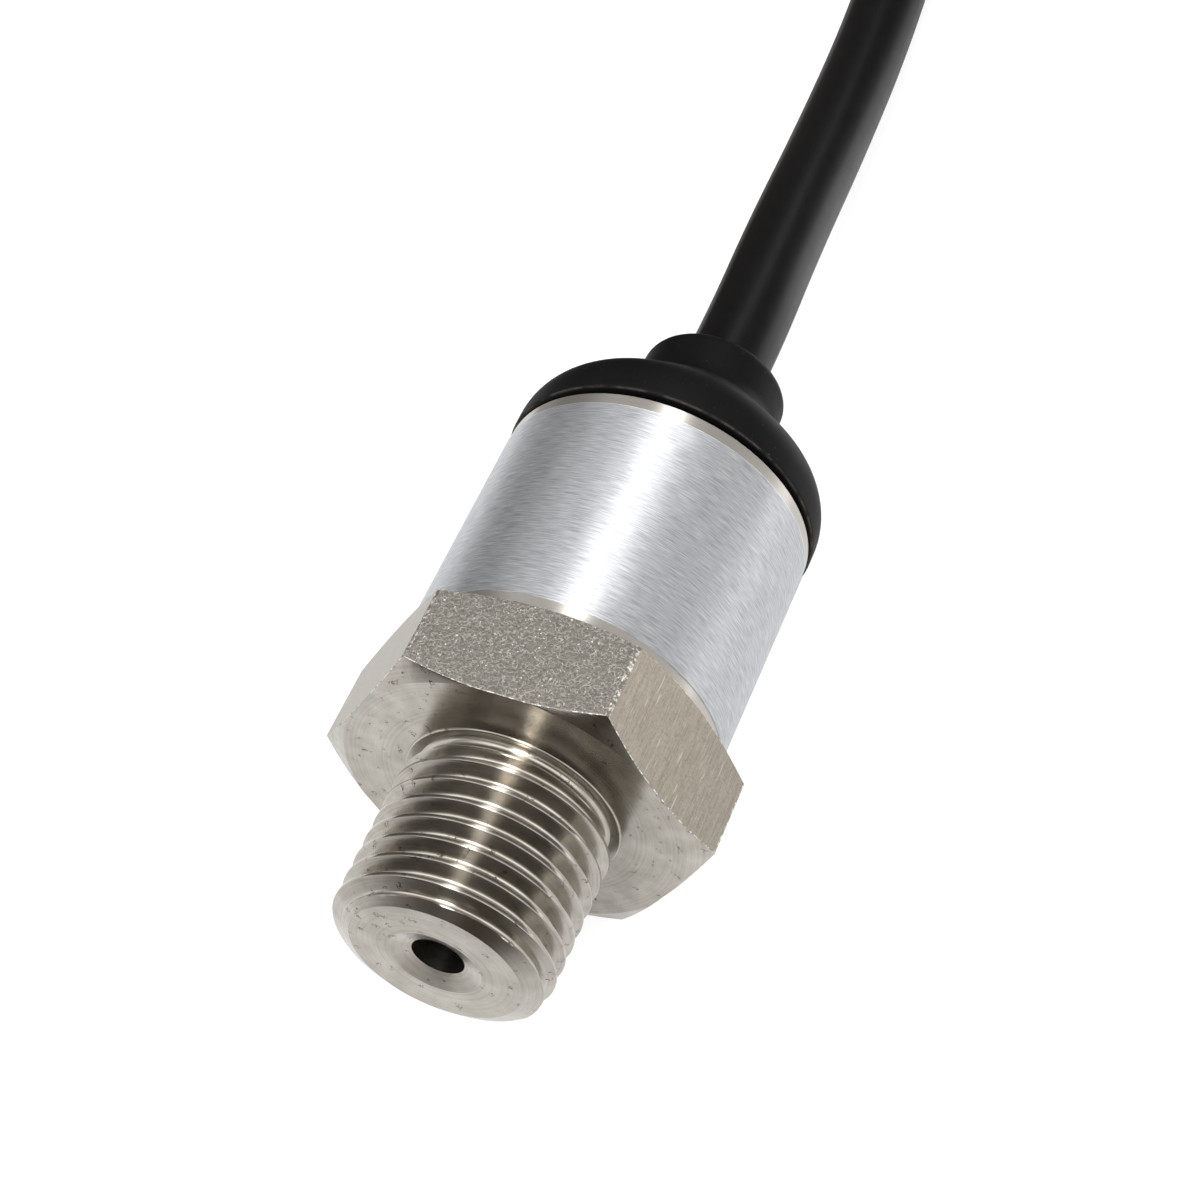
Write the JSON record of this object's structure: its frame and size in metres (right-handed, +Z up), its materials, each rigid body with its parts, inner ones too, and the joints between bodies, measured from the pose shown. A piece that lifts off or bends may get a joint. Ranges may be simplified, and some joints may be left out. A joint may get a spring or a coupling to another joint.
{
  "type": "pressure sensor",
  "caption": "Cylindrical pressure sensor with a threaded hexagon port, a brushed steel sleeve, a moulded rubber cap and a fixed cable that ends in bare wires.",
  "frame": {"origin": "on the sensor's axis, in the plane of the hexagon's front face, which seats on the mating fitting", "axes": "+Y along the axis from the port to the cable, +Z up with a flat of the hexagon on the surface below, +X to the right seen from the port"},
  "size_m": [0.0439, 0.2175, 0.027],
  "materials": {
    "port_steel": "machined stainless steel, fine turning and milling marks",
    "sleeve_steel": "stainless steel tube brushed round its girth",
    "plain_steel": "plain stainless steel",
    "seal_rubber": "moulded nitrile rubber",
    "cell_ceramic": "sintered alumina, matt",
    "gold_pins": "gold-flashed brass",
    "carrier_plastic": "moulded plastic, matt",
    "board_laminate": "glass-cloth laminate with a green solder mask",
    "chip_plastic": "moulded epoxy, matt",
    "capacitor_ceramic": "fired ceramic, satin",
    "resistor_film": "glazed film on ceramic",
    "solder_tin": "bright tin solder",
    "wire_red": "extruded vinyl, satin",
    "wire_yellow": "extruded vinyl, satin",
    "wire_black": "extruded vinyl, satin",
    "cap_rubber": "moulded rubber, matt",
    "jacket_vinyl": "extruded soft vinyl, satin",
    "tie_nylon": "moulded nylon, satin"
  },
  "bodies": {
    "root": {"pressure_port": "port_steel", "cell_seal": "seal_rubber", "cell_diaphragm": "cell_ceramic", "cell_body": "cell_ceramic", "cell_retainer": "plain_steel", "cell_pins": "gold_pins", "sleeve_seal": "seal_rubber", "housing_sleeve": "sleeve_steel", "board_carrier": "carrier_plastic", "circuit_board": "board_laminate", "signal_chip": "chip_plastic", "chip_capacitors": "capacitor_ceramic", "chip_resistors": "resistor_film", "surge_diode": "chip_plastic", "solder_joints": "solder_tin", "core_red": "wire_red", "core_yellow": "wire_yellow", "core_black": "wire_black", "cable_clamp": "plain_steel", "cable_cap": "cap_rubber", "cable_jacket": "jacket_vinyl", "cable_hank": "jacket_vinyl", "cable_ties": "tie_nylon", "lead_red": "wire_red", "lead_yellow": "wire_yellow", "lead_black": "wire_black", "lead_tips": "solder_tin"}
  },
  "joints": []
}
